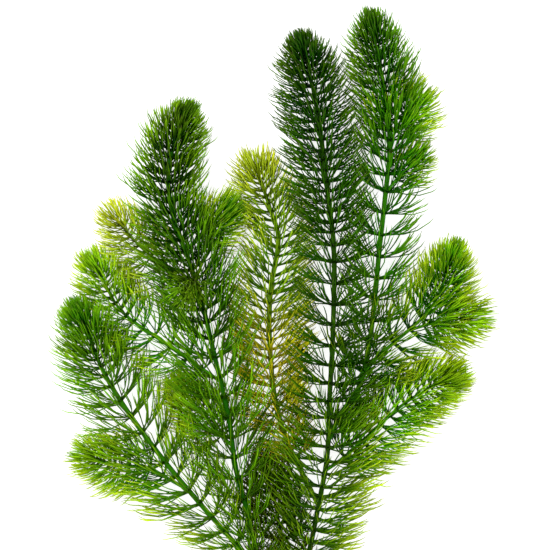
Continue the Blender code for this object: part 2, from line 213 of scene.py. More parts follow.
def colour_of(name, default, about):
    return FloatVectorProperty(name=name, description=about, default=default, subtype="COLOR", size=3,
                               min=0.0, max=1.0)


class HornwortLeaves(bpy.types.PropertyGroup):
    """Sizes of the whorls and their leaves."""

    length: length_of("Leaf length", 0.0252, "Length of a full grown leaf of a strong shoot")
    grows_over: length_of("Grows over", 0.014, "How far from the tip leaves come near their full length")
    old_gain: number_of("Old leaf gain", 0.34, "How much longer the oldest leaves are")
    old_droop: number_of("Old leaf droop", 0.26, "How much more the oldest leaves lean")
    gains_over: length_of("Gain over", 0.090, "Length of stem over which they reach their greatest length")
    thread: length_of("Thread radius", 0.00045, "Radius of a leaf where it leaves the stem")
    old_spacing: length_of("Old spacing", 0.0096, "Distance between whorls on an old stem")
    young_spacing: length_of("Young spacing", 0.0048, "Distance between whorls where the stem is young")
    bud_spacing: length_of("Bud spacing", 0.0008, "Distance between whorls at the end of the stem")
    bud: length_of("Bud", 0.0085, "How far the youngest leaves reach past the end of the stem")
    lean: angle_of("Lean", 55, "Middle angle of an old leaf from the stem")
    bud_lean: angle_of("Bud lean", 8, "Middle angle of the youngest leaves from the stem")
    opens_over: length_of("Opens over", 0.0035, "How far below the bud the leaves open")
    curl: angle_of("Curl", 27, "How far an old leaf's two ends bend from its middle angle")
    young_curl: angle_of("Young curl", 36, "The same bend of a leaf that has just opened")
    sideways: number_of("Sideways", -0.04, "How strongly the whorls spread to their two sides")


class HornwortColours(bpy.types.PropertyGroup):
    """Colours of the leaves and stems."""

    # Deep green is partly the young leaves' own colour and partly painted shade of the dense growing tips.
    deep_green: colour_of("Deep green", (0.003, 0.042, 0.001), "Young leaves of the dark shoots")
    moss_green: colour_of("Moss green", (0.017, 0.098, 0.001), "Old leaves of the darkest shoot")
    leaf_green: colour_of("Leaf green", (0.018, 0.155, 0.001), "Plain green leaves")
    warm_green: colour_of("Warm green", (0.062, 0.215, 0.002), "Aged leaves")
    fresh_green: colour_of("Fresh green", (0.050, 0.300, 0.001), "Young leaves of the bright branches")
    spring_green: colour_of("Spring green", (0.120, 0.310, 0.003), "Old leaves of the pale shoots")
    lime_green: colour_of("Lime green", (0.200, 0.440, 0.004), "Young leaves of the brightest branches")
    dull_lime: colour_of("Dull lime", (0.430, 0.510, 0.013), "Young leaves of the pale shoots")
    soft_green: colour_of("Soft green", (0.240, 0.530, 0.010), "Leaves of the twig that points up")
    ochre: colour_of("Ochre", (0.520, 0.490, 0.008), "Aged leaves of the pale shoots")
    dark_olive: colour_of("Dark olive", (0.026, 0.058, 0.001), "Leaves of the low olive shoot")
    olive: colour_of("Olive", (0.110, 0.140, 0.002), "Leaf ends of the olive shoots")
    leaf_olive: colour_of("Leaf olive", (0.055, 0.140, 0.002), "Leaf ends of the darkest shoot")
    leaf_lime: colour_of("Leaf lime", (0.130, 0.340, 0.003), "Leaf ends of the deep green shoots")
    pale_lime: colour_of("Pale lime", (0.440, 0.600, 0.010), "Leaf ends of the bright branches")
    yellow_green: colour_of("Yellow green", (0.560, 0.620, 0.030), "Leaf ends of the pale shoots")
    dry_point: colour_of("Dry point", (0.100, 0.085, 0.030), "The dried ends of some leaves")
    dark_bark: colour_of("Dark stem", (0.014, 0.052, 0.001), "Stem of the darkest shoot")
    deep_bark: colour_of("Deep green stem", (0.010, 0.095, 0.001), "Stem of the other dark shoot")
    green_bark: colour_of("Green stem", (0.022, 0.140, 0.001), "Stems of the green shoots")
    fresh_bark: colour_of("Fresh stem", (0.040, 0.220, 0.002), "Stems of the bright branches")
    lime_bark: colour_of("Lime stem", (0.095, 0.200, 0.003), "Stems of the pale shoots")


class HornwortStage(bpy.types.PropertyGroup):
    """The floor, the light and the view."""

    view_width: length_of("View width", 0.253, "Width of the view at the height of the plant")
    view_x: length_of("View middle X", 0.00153, "Place of the middle of the view across the plant")
    view_y: length_of("View middle Y", 0.02695, "Place of the middle of the view along the plant")
    view_height: length_of("View focus", 0.018, "Height above the floor at which the view width holds")
    lens: number_of("Lens", 300.0, "Focal length in millimetres")
    floor_radius: length_of("Floor radius", 3.0, "Radius of the round floor")
    floor_colour: colour_of("Floor colour", (0.45, 0.45, 0.45), "Pale floor")
    floor_glow: number_of("Floor glow", 0.82, "Light given out by the floor")
    sky: number_of("Sky", 0.90, "Strength of the even white light all round")
    key: number_of("Key light", 20.0, "Watts of the large soft light")
    fill: number_of("Fill light", 5.0, "Watts of the second soft light")


# Stems

def blend(low, high, share):
    """The value a share of the way from low to high, held at both ends."""
    return low + (high - low) * min(max(share, 0.0), 1.0)


STEM_STEP = 0.0005


def smooth_stem(route):
    """Points a small step apart on the smooth curve through a route's own points."""
    points = [Vector(p) - ROUTE_ORIGIN for p in route]
    headings = []
    for i in range(len(points)):
        before = points[max(i - 1, 0)]
        after = points[min(i + 1, len(points) - 1)]
        headings.append((after - before).normalized())
    stem = [points[0]]
    for a, b, leave, arrive in zip(points, points[1:], headings, headings[1:]):
        third = (b - a).length / 3
        count = max(2, round((b - a).length / STEM_STEP) + 1)
        stem += interpolate_bezier(a, a + leave * third, b - arrive * third, b, count)[1:]
    return stem


class Stem:
    """A stem's smooth line, read by the distance from its foot, which lies on its bearer's line."""

    TIP_SHARE = 0.45
    TAPER = 0.050

    def __init__(self, shoot):
        route = list(shoot.route)
        if shoot.bearer:
            foot = Vector(route[0])
            nearest = min(stem_of(shoot.bearer).points, key=lambda p: (p + ROUTE_ORIGIN - foot).length)
            route[0] = nearest + ROUTE_ORIGIN
        self.points = smooth_stem(route)
        self.lengths = [0.0]
        for a, b in zip(self.points, self.points[1:]):
            self.lengths.append(self.lengths[-1] + (b - a).length)
        self.length = self.lengths[-1]
        self.radius = shoot.stem

    def index(self, distance):
        return min(int(np.searchsorted(self.lengths, distance)), len(self.points) - 1)

    def frame(self, distance):
        """The place on the stem, its heading, the level direction across it and the rising one."""
        i = self.index(distance)
        before = self.points[max(i - 1, 0)]
        after = self.points[min(i + 1, len(self.points) - 1)]
        along = (after - before).normalized()
        level = along.cross(Vector((0, 0, 1))).normalized()
        return self.points[i], along, level, level.cross(along)

    def radius_at(self, distance):
        return self.radius * blend(self.TIP_SHARE, 1.0, (self.length - distance) / self.TAPER)


def shoot_named(name):
    return next(s for s in SHOOTS if s.name == name)


def stem_of(name):
    return Stem(shoot_named(name))


# Lengths of stem: the plant's foot without leaves, the zone of the foot, and those over which whorls part.
BARE_FOOT = 0.014
FOOT_ZONE = 0.080
YOUNG_OVER = 0.014
OPENS_WITHIN = 0.016


def bud_length(shoot, leaves):
    """How far the first whorl sits from the end of the stem."""
    return leaves.bud * shoot.leaf * shoot.tuft


def whorl_places(shoot, stem, leaves):
    """The distances from the foot at which the whorls sit, close together in the growing tip."""
    first = shoot.bare if shoot.bearer else BARE_FOOT
    places = []
    bud = bud_length(shoot, leaves)
    from_tip = bud
    while from_tip < stem.length - first:
        places.append(stem.length - from_tip)
        grown = 1 - math.exp(-(from_tip - bud) / YOUNG_OVER)
        gap = blend(leaves.bud_spacing * shoot.tuft, leaves.young_spacing, grown)
        gap = blend(gap, leaves.old_spacing * shoot.spacing, (from_tip - shoot.opening) / OPENS_WITHIN)
        gap *= blend(shoot.foot_spacing, 1.0, (stem.length - from_tip - FOOT_ZONE) / FOOT_ZONE)
        from_tip += gap
    return places[::-1]


STEM_SIDES = 8
RING_STEP = 0.0016
NODE_SWELL = 0.16
NODE_HALF = 0.0011
LEAST_STEP = NODE_HALF / 3
CUT_EDGE = 0.00018


def ring_distances(stem, whorls):
    """Where the stem's rings stand: evenly along it, and one on and at each side of every node."""
    even = list(np.arange(RING_STEP, stem.length, RING_STEP))
    nodes = [w + d for w in whorls for d in (-NODE_HALF, 0.0, NODE_HALF)]
    distances = []
    for d in sorted(even + nodes):
        if 0 < d < stem.length and (not distances or d - distances[-1] > LEAST_STEP):
            distances.append(d)
    return distances


def ring_of_edges(bm, ring):
    return [bm.edges.get((a, b)) for a, b in zip(ring, ring[1:] + ring[:1])]


def place_ring(ring, stem, distance, radius):
    centre, _, level, rise = stem.frame(distance)
    for k, vertex in enumerate(ring):
        angle = 2 * math.pi * k / len(ring)
        vertex.co = centre + (level * math.cos(angle) + rise * math.sin(angle)) * radius


def extrude_ring(bm, ring):
    """Extrudes the open end of a stem. Returns the new ring, in the same order."""
    made = bmesh.ops.extrude_edge_only(bm, edges=ring_of_edges(bm, ring))["geom"]
    new = {v for v in made if isinstance(v, bmesh.types.BMVert)}
    return [next(e.other_vert(v) for e in v.link_edges if e.other_vert(v) in new) for v in ring]


def grow_stem(bm, stem, whorls):
    """The stem itself: rings extruded one after another, swollen at the nodes, closed at both ends.

    The value "along" is 1 on a node and 0 between the nodes. On a leaf it goes from 0 at the root to 1.
    """
    node_layer = bm.verts.layers.float["along"]
    ring = bmesh.ops.create_circle(bm, segments=STEM_SIDES, radius=1.0, cap_ends=False)["verts"]
    foot = stem.radius_at(0.0)
    place_ring(ring, stem, 0.0, foot - CUT_EDGE)
    bmesh.ops.contextual_create(bm, geom=ring_of_edges(bm, ring))
    ring = extrude_ring(bm, ring)
    place_ring(ring, stem, CUT_EDGE, foot)
    for distance in ring_distances(stem, whorls):
        if distance > whorls[-1]:
            break
        gap = min(abs(distance - w) for w in whorls)
        near = max(0.0, 1.0 - gap / NODE_HALF)
        ring = extrude_ring(bm, ring)
        place_ring(ring, stem, distance, stem.radius_at(distance) * (1 + NODE_SWELL * near))
        for vertex in ring:
            vertex[node_layer] = near
    bmesh.ops.pointmerge(bm, verts=ring, merge_co=stem.frame(whorls[-1] + NODE_HALF)[0])


def settle_order(bm):
    """Puts a stem's vertices, edges and faces in the order of their places, the same in every run."""
    for i, vertex in enumerate(sorted(bm.verts, key=lambda v: tuple(v.co))):
        vertex.index = i
    bm.verts.sort()
    for elements in (bm.edges, bm.faces):
        for i, element in enumerate(sorted(elements, key=lambda e: sorted(v.index for v in e.verts))):
            element.index = i
        elements.sort()


# Leaves

FIRST_FORK = 0.14
SECOND_FORK = 0.36
ARM_SPREAD = 0.115
TINE_SPREAD = 0.040
TINE_LIFT = 0.066
ENDS_DRAW_IN = 0.25
THREAD_STOPS = (0.0, FIRST_FORK, SECOND_FORK, 0.60, 0.84)
THREAD_SIDES = 3
ROOT_SHARE = 0.30
ROOT_FADE = 0.12
FINE_FROM = 0.55
FINE_LOSS = 0.22

# The tines of each leaf form: their side at the first fork and at the second, and where they start and end.
LEAF_FORMS = (
    ((1, 1, 0.0, 0.96), (-1, 1, FIRST_FORK, 1.0), (1, -1, SECOND_FORK, 0.90), (-1, -1, SECOND_FORK, 0.86)),
    ((1, 1, 0.0, 1.0), (-1, 0.2, FIRST_FORK, 0.93), (1, -1, SECOND_FORK, 0.87)),
    ((1, 0.2, 0.0, 1.0), (-1, -0.2, FIRST_FORK, 0.90)),
)
FORM_SHARES = (0.58, 0.30, 0.12)


def parting(at, fork):
    """How far two arms have parted at a place along the leaf, from 0 at their fork to 1 at the end."""
    share = max(0.0, (at - fork) / (1 - fork))
    return share * (2 - share) * (1 - ENDS_DRAW_IN * share**3)


def tine_point(at, first, second):
    """A point of a tine: the share of the leaf's length, then sideways and up, as shares of that length."""
    side = first * ARM_SPREAD * parting(at, FIRST_FORK) + second * TINE_SPREAD * parting(at, SECOND_FORK)
    lift = second * TINE_LIFT * parting(at, SECOND_FORK)
    return Vector((at, side, lift))


def thread_radius(at, thread):
    """The radius of a tine: stout where the leaf leaves the stem, then even, then finer towards its end."""
    stout = 1 - ROOT_SHARE * (1 - math.exp(-at / ROOT_FADE))
    return thread * stout * (1 - FINE_LOSS * max(0.0, (at - FINE_FROM) / (1 - FINE_FROM)))


def draw_tine(bm, centre_layer, first, second, start, end_at, thread):
    """One tine as a thin closed tube that ends in a point, in the leaf's own straight space."""
    stops = [start + (s - start) * (end_at - start) / (1 - start) for s in THREAD_STOPS if s >= start]
    here = tine_point(stops[0], first, second)
    radius = thread_radius(stops[0], thread)
    across = Matrix.Translation(here) @ Matrix.Rotation(math.pi / 2, 4, "Y")
    made = bmesh.ops.create_circle(bm, segments=THREAD_SIDES, radius=radius, cap_ends=True, matrix=across)
    for vertex in made["verts"]:
        vertex[centre_layer] = here
    end = made["verts"][0].link_faces[0]
    for at in stops[1:]:
        there = tine_point(at, first, second)
        thinner = thread_radius(at, thread) / radius
        radius = thread_radius(at, thread)
        end = bmesh.ops.extrude_discrete_faces(bm, faces=[end])["faces"][0]
        bmesh.ops.translate(bm, vec=there - here, verts=end.verts)
        bmesh.ops.scale(bm, vec=(1, thinner, thinner), space=Matrix.Translation(-there), verts=end.verts)
        for vertex in end.verts:
            vertex[centre_layer] = there
        here = there
    tip = tine_point(end_at, first, second)
    last = bmesh.ops.extrude_discrete_faces(bm, faces=[end])["faces"][0]
    for vertex in last.verts:
        vertex[centre_layer] = tip
    bmesh.ops.pointmerge(bm, verts=last.verts, merge_co=tip)


def leaf_form(number, thread):
    """The mesh of one form of leaf, straight and a unit long.

    The value "centre" is the point in the middle of its tine that a vertex stands round.
    """
    name = f"leaf_form_{number}"
    if name in bpy.data.meshes:
        return bpy.data.meshes[name]
    bm = bmesh.new()
    centre_layer = bm.verts.layers.float_vector.new("centre")
    for tine in LEAF_FORMS[number]:
        draw_tine(bm, centre_layer, *tine, thread)
    bmesh.ops.holes_fill(bm, edges=[e for e in bm.edges if e.is_boundary], sides=THREAD_SIDES)
    bmesh.ops.recalc_face_normals(bm, faces=bm.faces)
    mesh = bpy.data.meshes.new(name)
    bm.to_mesh(mesh)
    bm.free()
    return mesh


@dataclass
class Leaf:
    """Where one leaf grows and how it bends, with angles from the stem's heading, and what colours it.

    age goes from 0 in the growing tip to 1 where the leaf is old and 2 where it is aged. shade is drawn by
    chance, crowd is more where shoots crowd together and darkens the leaf as painted shade, and light is
    painted backlight, more where leaves lie level and free.
    """

    form: int
    root: Vector
    along: Vector
    outward: Vector
    length: float
    base_angle: float
    end_angle: float
    roll: float
    sway: float
    thickness: float
    age: float
    shade: float
    light: float = 0.0
    crowd: float = 0.0

    def reach(self):
        """How far the leaf's end lies out from the stem and along it."""
        turn = self.end_angle - self.base_angle
        out = (math.cos(self.base_angle) - math.cos(self.end_angle)) / turn
        on = (math.sin(self.end_angle) - math.sin(self.base_angle)) / turn
        return self.length * out, self.length * on


# How unevenly the leaves grow, with angles in radians and turns as shares of the angle between two leaves.
ANGLE_JITTER = math.radians(6)
LENGTH_JITTER = 0.12
ROOT_JITTER = 0.00035
TURN_JITTER = 0.22
ROLL_JITTER = 1.2
SWAY_JITTER = 0.08

# How deep in the stem a leaf's root sits, how thin a short leaf is, and lengths of stem for its changes.
ROOT_DEPTH = 0.8
THIN_WHEN_SHORT = 0.55
CURL_EASES_OVER = 0.030
AGES_OVER = 0.040

# The share of their length that leaves have at a strong shoot's foot, and where that starts to ease.
FOOT_LEAF = 0.60
FOOT_LEAF_FROM = 0.035
FOOT_LEAF_OVER = 0.045

# Leaves that are pressed on the surface: their height on it, and the least share of their way down.
PRESSED_GAP = 0.0006
LEAST_DOWN = 0.55
LEAST_RISE = 0.2

# Crowding, which sets painted shade and less painted backlight: it counts every fourth point of the stems
# within its reach.
CROWD_EVERY = 4
CROWD_REACH = 0.014
CROWD_STARTS = 8.0
CROWD_OVER = 20.0


def spread_on_floor(leaf, level, rise, chance):
    """Turns a leaf that would go under the surface sideways round its stem, until it just reaches it."""
    out, on = leaf.reach()
    lowest = leaf.root.z + leaf.along.z * on + leaf.outward.z * out
    if lowest > PRESSED_GAP or leaf.outward.z >= 0:
        return
    room = leaf.root.z + leaf.along.z * on - PRESSED_GAP
    down = min(1.0, max(0.0, room / (out * max(rise.z, LEAST_RISE))))
    down *= chance.uniform(LEAST_DOWN, 1.0)
    side = math.copysign(math.sqrt(1 - down * down), leaf.outward.dot(level))
    leaf.outward = level * side - rise * down


def other_stems(shoot):
    """Points evenly spread on the stems of all the other shoots, seen from above."""
    return np.array([p[:2] for s in SHOOTS if s is not shoot for p in Stem(s).points[::CROWD_EVERY]])


def crowding(place, others):
    """How crowded a place inside the plant is, from 0 where one other shoot or none is near to 1."""
    apart = np.hypot(*(others - np.array(place[:2])).T)
    near = float(np.exp(-((apart / CROWD_REACH) ** 2)).sum())
    return blend(0.0, 1.0, (near - CROWD_STARTS) / CROWD_OVER)


def leaf_measures(shoot, stem, distance, leaves):
    """The full length of the leaves at a place on the stem, their middle angle from it, and their curl."""
    from_tip = stem.length - distance
    full = leaves.length * shoot.leaf
    gained = blend(0.0, 1.0, (from_tip - shoot.longer_from) / leaves.gains_over)
    full *= 1 + leaves.old_gain * gained
    if shoot.stem == STRONG_STEM:
        full *= blend(FOOT_LEAF, 1.0, (distance - FOOT_LEAF_FROM) / FOOT_LEAF_OVER)
    full *= 1 - math.exp(-from_tip / leaves.grows_over)
    opened = 1 - math.exp(-(from_tip - bud_length(shoot, leaves)) / (leaves.opens_over * shoot.tuft))
    lean = leaves.lean * shoot.lean * (1 + leaves.old_droop * shoot.droop * gained)
    middle_angle = blend(leaves.bud_lean * shoot.tuft**2, lean, opened)
    curl = blend(leaves.curl * shoot.curl, leaves.young_curl, math.exp(-from_tip / CURL_EASES_OVER))
    return full, middle_angle, min(curl, middle_angle)


def plan_leaves(shoot, stem, whorls, leaves, chance):
    """Every leaf of a shoot, whorl by whorl."""
    plan = []
    others = other_stems(shoot)
    for distance in whorls:
        centre, along, level, rise = stem.frame(distance)
        from_tip = stem.length - distance
        full, middle_angle, curl = leaf_measures(shoot, stem, distance, leaves)
        old = blend(0.0, 1.0, from_tip / shoot.old_from)
        aged = blend(0.0, 1.0, (from_tip - shoot.aged_from) / AGES_OVER)
        radius = stem.radius_at(distance)
        turn = chance.uniform(0, math.tau)
        for k in range(shoot.leaves):
            angle = turn + math.tau * (k + chance.uniform(-TURN_JITTER, TURN_JITTER)) / shoot.leaves
            angle -= leaves.sideways * (1 - abs(along.z)) * math.sin(2 * angle)
            outward = level * math.cos(angle) + rise * math.sin(angle)
            tilt = chance.gauss(0, ANGLE_JITTER)
            leaf = Leaf(
                form=chance.choices(range(len(LEAF_FORMS)), FORM_SHARES)[0],
                root=centre + outward * radius * ROOT_DEPTH + along * chance.gauss(0, ROOT_JITTER),
                along=along,
                outward=outward,
                length=full * (1 + chance.uniform(-LENGTH_JITTER, LENGTH_JITTER)),
                base_angle=middle_angle + curl + tilt,
                end_angle=middle_angle - curl + tilt + chance.gauss(0, ANGLE_JITTER),
                roll=chance.uniform(-ROLL_JITTER, ROLL_JITTER),
                sway=chance.gauss(0, SWAY_JITTER),
                thickness=blend(THIN_WHEN_SHORT, 1.0, full / leaves.length),
                age=old + aged,
                shade=chance.random(),
            )
            spread_on_floor(leaf, level, rise, chance)
            out, on = leaf.reach()
            # Crowding darkens the leaf as painted shade.
            leaf.crowd = crowding(leaf.root + along * on + leaf.outward * out, others)
            # Painted backlight: more for leaves that lie level across the stem and free of crowding shoots.
            leaf.light = abs(leaf.outward.dot(level)) * (1 - leaf.crowd)
            plan.append(leaf)
    return plan


def column(plan, name):
    values = [getattr(leaf, name) for leaf in plan]
    return np.array([tuple(v) if isinstance(v, Vector) else v for v in values], float)


def bend_leaves(mesh, first, plan, sizes):
    """Takes the joined straight leaves, from vertex first on, to their places on the stem, bent as planned.

    sizes are the numbers of vertices in the leaves. Returns the values that colour each vertex.
    """
    count = len(mesh.vertices)
    places = np.zeros(count * 3)
    middles = np.zeros(count * 3, np.float32)
    mesh.vertices.foreach_get("co", places)
    mesh.attributes["centre"].data.foreach_get("vector", middles)
    places = places.reshape(-1, 3)
    middle = middles.reshape(-1, 3)[first:].astype(float)
    # The walls are measured from the middle of their tine, in the leaf's own straight space.
    wall = places[first:] - middle
    owner = np.repeat(np.arange(len(plan)), sizes)

    def each(name):
        return column(plan, name)[owner]

    along = each("along")
    outward = each("outward")
    side = np.cross(along, outward)
    length = each("length")[:, None]
    base = each("base_angle")[:, None]
    turn = each("end_angle")[:, None] - base
    at = middle[:, :1]
    angle = base + turn * at
    line = along * (np.sin(angle) - np.sin(base)) / turn + outward * (np.cos(base) - np.cos(angle)) / turn
    normal = outward * np.cos(angle) - along * np.sin(angle)
    roll = each("roll")[:, None]
    sideways = side * np.cos(roll) + normal * np.sin(roll)
    upwards = normal * np.cos(roll) - side * np.sin(roll)
    line += sideways * middle[:, 1:2] + upwards * middle[:, 2:3] + side * each("sway")[:, None] * at**2
    place = each("root") + line * length
    thickness = each("thickness")[:, None]
    place[:, 2] = np.maximum(place[:, 2], np.linalg.norm(wall, axis=1))
    places[first:] = place + (sideways * wall[:, 1:2] + upwards * wall[:, 2:3]) * thickness
    places[:, 2] = np.maximum(places[:, 2], 0.0)
    mesh.vertices.foreach_set("co", places.ravel())
    return {"along": at[:, 0]} | {name: each(name) for name in ("age", "shade", "light", "crowd")}


def set_values(mesh, name, part, values):
    """Sets an attribute for a part of the vertices. The others keep theirs, or have 0 in a new attribute."""
    layer = mesh.attributes.get(name) or mesh.attributes.new(name, "FLOAT", "POINT")
    whole = np.zeros(len(mesh.vertices), np.float32)
    layer.data.foreach_get("value", whole)
    whole[part] = values
    layer.data.foreach_set("value", whole)


def grow_shoot(context, shoot):
    """One shoot as a finished piece: its stem, its leaves, its attributes and its material."""
    leaves = context.scene.hornwort_leaves
    chance = random.Random(f"{SEED} {shoot.name}")
    stem = Stem(shoot)
    whorls = whorl_places(shoot, stem, leaves)
    plan = plan_leaves(shoot, stem, whorls, leaves, chance)
    bm = bmesh.new()
    bm.verts.layers.float_vector.new("centre")
    bm.verts.layers.float.new("along")
    grow_stem(bm, stem, whorls)
    bmesh.ops.recalc_face_normals(bm, faces=bm.faces)
    settle_order(bm)
    first = len(bm.verts)
    forms = [leaf_form(number, leaves.thread) for number in range(len(LEAF_FORMS))]
    for leaf in plan:
        bm.from_mesh(forms[leaf.form])
    mesh = bpy.data.meshes.new(shoot.name + "_dressed")
    bm.to_mesh(mesh)
    bm.free()
    sizes = [len(forms[leaf.form].vertices) for leaf in plan]
    for name, values in bend_leaves(mesh, first, plan, sizes).items():
        set_values(mesh, name, slice(first, None), values)
    set_values(mesh, "stalk", slice(0, first), 1.0)
    mesh.attributes.remove(mesh.attributes["centre"])
    mesh.materials.append(plant_material(context, shoot))
    mesh.shade_smooth()
    mesh.update()
    piece = bpy.data.objects.new(shoot.name + "_dressed", mesh)
    context.scene.collection.objects.link(piece)
    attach(piece, "root")
    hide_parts(shoot.name)
    return piece


def grow_shoots(context, *names):
    for name in names:
        grow_shoot(context, shoot_named(name))
    return {"FINISHED"}


# Materials

# Where a mix of colours has its share, its two colours and its result.
MIX_SHARE = 0
MIX_FIRST = 6
MIX_SECOND = 7
MIX_RESULT = 2
WHOLE = (0.0, 1.0)


def add_node(tree, kind, inputs=None, **settings):
    """A node with its settings made and its inputs set to values or linked from other nodes' outputs."""
    node = tree.nodes.new(kind)
    for name, value in settings.items():
        setattr(node, name, value)
    for key, value in (inputs or {}).items():
        if isinstance(value, bpy.types.NodeSocket):
            tree.links.new(value, node.inputs[key])
        else:
            node.inputs[key].default_value = value
    return node


def attribute_value(tree, name):
    node = add_node(tree, "ShaderNodeAttribute", attribute_name=name, attribute_type="GEOMETRY")
    return node.outputs["Fac"]


def share_of(tree, value, span, result=WHOLE):
    """A share that goes smoothly from one result to the other as a value goes over its span."""
    inputs = {"Value": value}
    inputs["From Min"], inputs["From Max"] = span
    inputs["To Min"], inputs["To Max"] = result
    return add_node(tree, "ShaderNodeMapRange", inputs, interpolation_type="SMOOTHSTEP").outputs["Result"]


def product(tree, first, second):
    return add_node(tree, "ShaderNodeMath", {0: first, 1: second}, operation="MULTIPLY").outputs["Value"]


def mixed_colour(tree, share, first, second):
    inputs = {MIX_SHARE: share, MIX_FIRST: first, MIX_SECOND: second}
    return add_node(tree, "ShaderNodeMix", inputs, data_type="RGBA").outputs[MIX_RESULT]


def noise_value(tree, scale, detail):
    inputs = {"Vector": add_node(tree, "ShaderNodeTexCoord").outputs["Object"]}
    inputs |= {"Scale": scale, "Detail": detail}
    return add_node(tree, "ShaderNodeTexNoise", inputs).outputs["Fac"]


VALUES = ("along", "age", "shade", "light", "crowd", "stalk")
TINTS = (
    "Stem", "Young Leaf", "Young Point", "Old Leaf", "Old Point", "Aged Leaf", "Aged Point", "Dry Point",
)

# Where along a leaf its point's colour, the painted shade at its root and its dry end begin and are whole.
POINT_SPAN = (0.40, 0.95)
ROOT_SHADE_SPAN = (0.0, 0.55)
DRY_SPAN = (0.84, 0.97)

# Ages at which leaves take their old colours, their aged ones and the weaker painted shade at an old leaf's
# root.
GROWN_SPAN = (0.0, 1.0)
AGED_SPAN = (1.0, 2.0)
ROOT_SHADE_AGE_SPAN = (0.0, 1.6)

# Tones and strengths from a leaf's values, lowest to highest: painted shade, tone by chance, painted
# backlight, dry ends.
ROOT_PAINTED_SHADE = (0.42, 0.80)
LEAF_TONE = (0.70, 1.35)
CROWD_PAINTED_SHADE = (1.0, 0.45)
PAINTED_LIGHT_SPAN = (0.30, 0.90)
PAINTED_LIGHT_POINT = (0.30, 1.0)
DRY_SHADES = (0.25, 0.60)
DRY_STRENGTH = (0.0, 0.90)

# Soft patches of hue over the plant, and the fine mottle of its skin.
PATCH_SCALE = 45.0
PATCH_DETAIL = 2.0
PATCH_SPAN = (0.3, 0.7)
PATCH_HUES = (0.488, 0.506)
MOTTLE_SCALE = 700.0
MOTTLE_DETAIL = 4.0
MOTTLE_SPAN = (0.35, 0.70)
MOTTLE_SHARE = 0.15
NODE_SPAN = (0.2, 1.0)
NODE_STRENGTH = (0.0, 0.55)
NODE_COLOUR = (0.010, 0.020, 0.004, 1.0)

SKIN_ROUGHNESS = 0.50
SKIN_SPECULAR = 0.02
RELIEF_STRENGTH = 0.25
RELIEF_DEPTH = 0.0002


def leaf_colour(group, given, value):
    """A leaf's colour, from root to point and young to aged: its own tone, painted shade, painted backlight,
    a dry end.
    """
    grown = share_of(group, value["age"], GROWN_SPAN)
    aged = share_of(group, value["age"], AGED_SPAN)
    leaf = mixed_colour(group, grown, given["Young Leaf"], given["Old Leaf"])
    leaf = mixed_colour(group, aged, leaf, given["Aged Leaf"])
    point = mixed_colour(group, grown, given["Young Point"], given["Old Point"])
    point = mixed_colour(group, aged, point, given["Aged Point"])
    # Painted backlight: the pale point colour shows fully on leaves that lie level and free, and only in
    # part elsewhere.
    lit = share_of(group, value["light"], PAINTED_LIGHT_SPAN, PAINTED_LIGHT_POINT)
    pointed = product(group, share_of(group, value["along"], POINT_SPAN), lit)
    leaf = mixed_colour(group, pointed, leaf, point)
    # Painted shade: a leaf is darker towards the stem, most of all in the dense young tips.
    root_shade = share_of(group, value["age"], ROOT_SHADE_AGE_SPAN, ROOT_PAINTED_SHADE)
    root_shade = share_of(group, value["along"], ROOT_SHADE_SPAN, (root_shade, 1.0))
    tone_and_shade = product(group, share_of(group, value["shade"], WHOLE, LEAF_TONE), root_shade)
    # Painted shade: leaves are darker where shoots crowd together.
    tone_and_shade = product(group, tone_and_shade, share_of(group, value["crowd"], WHOLE, CROWD_PAINTED_SHADE))
    hue = share_of(group, noise_value(group, PATCH_SCALE, PATCH_DETAIL), PATCH_SPAN, PATCH_HUES)
    toned_and_shaded = add_node(group, "ShaderNodeHueSaturation", {"Color": leaf, "Hue": hue, "Value": tone_and_shade})
    dried = share_of(group, value["shade"], DRY_SHADES, DRY_STRENGTH)
    dry = product(group, share_of(group, value["along"], DRY_SPAN), dried)
    return mixed_colour(group, dry, toned_and_shaded.outputs["Color"], given["Dry Point"])


def stem_colour(group, given, value, mottle):
    """A stem's colour, softly mottled, with dark nodes."""
    pale = mixed_colour(group, MOTTLE_SHARE, given["Stem"], given["Old Leaf"])
    stem = mixed_colour(group, share_of(group, mottle, MOTTLE_SPAN), given["Stem"], pale)
    node = share_of(group, value["along"], NODE_SPAN, NODE_STRENGTH)
    return mixed_colour(group, node, stem, NODE_COLOUR)


def plant_tint():
    """The node group that colours every shoot, from its dress and its points' values, with painted shade and
    backlight.
    """
    name = "hornwort_plant_tint"
    if name in bpy.data.node_groups:
        return bpy.data.node_groups[name]
    group = bpy.data.node_groups.new(name, "ShaderNodeTree")
    for socket in TINTS:
        group.interface.new_socket(socket, in_out="INPUT", socket_type="NodeSocketColor")
    group.interface.new_socket("Colour", in_out="OUTPUT", socket_type="NodeSocketColor")
    group.interface.new_socket("Relief", in_out="OUTPUT", socket_type="NodeSocketFloat")
    given = group.nodes.new("NodeGroupInput").outputs
    value = {name: attribute_value(group, name) for name in VALUES}
    mottle = noise_value(group, MOTTLE_SCALE, MOTTLE_DETAIL)
    leaf = leaf_colour(group, given, value)
    stem = stem_colour(group, given, value, mottle)
    out = group.nodes.new("NodeGroupOutput").inputs
    group.links.new(mixed_colour(group, value["stalk"], leaf, stem), out["Colour"])
    group.links.new(mottle, out["Relief"])
    return group


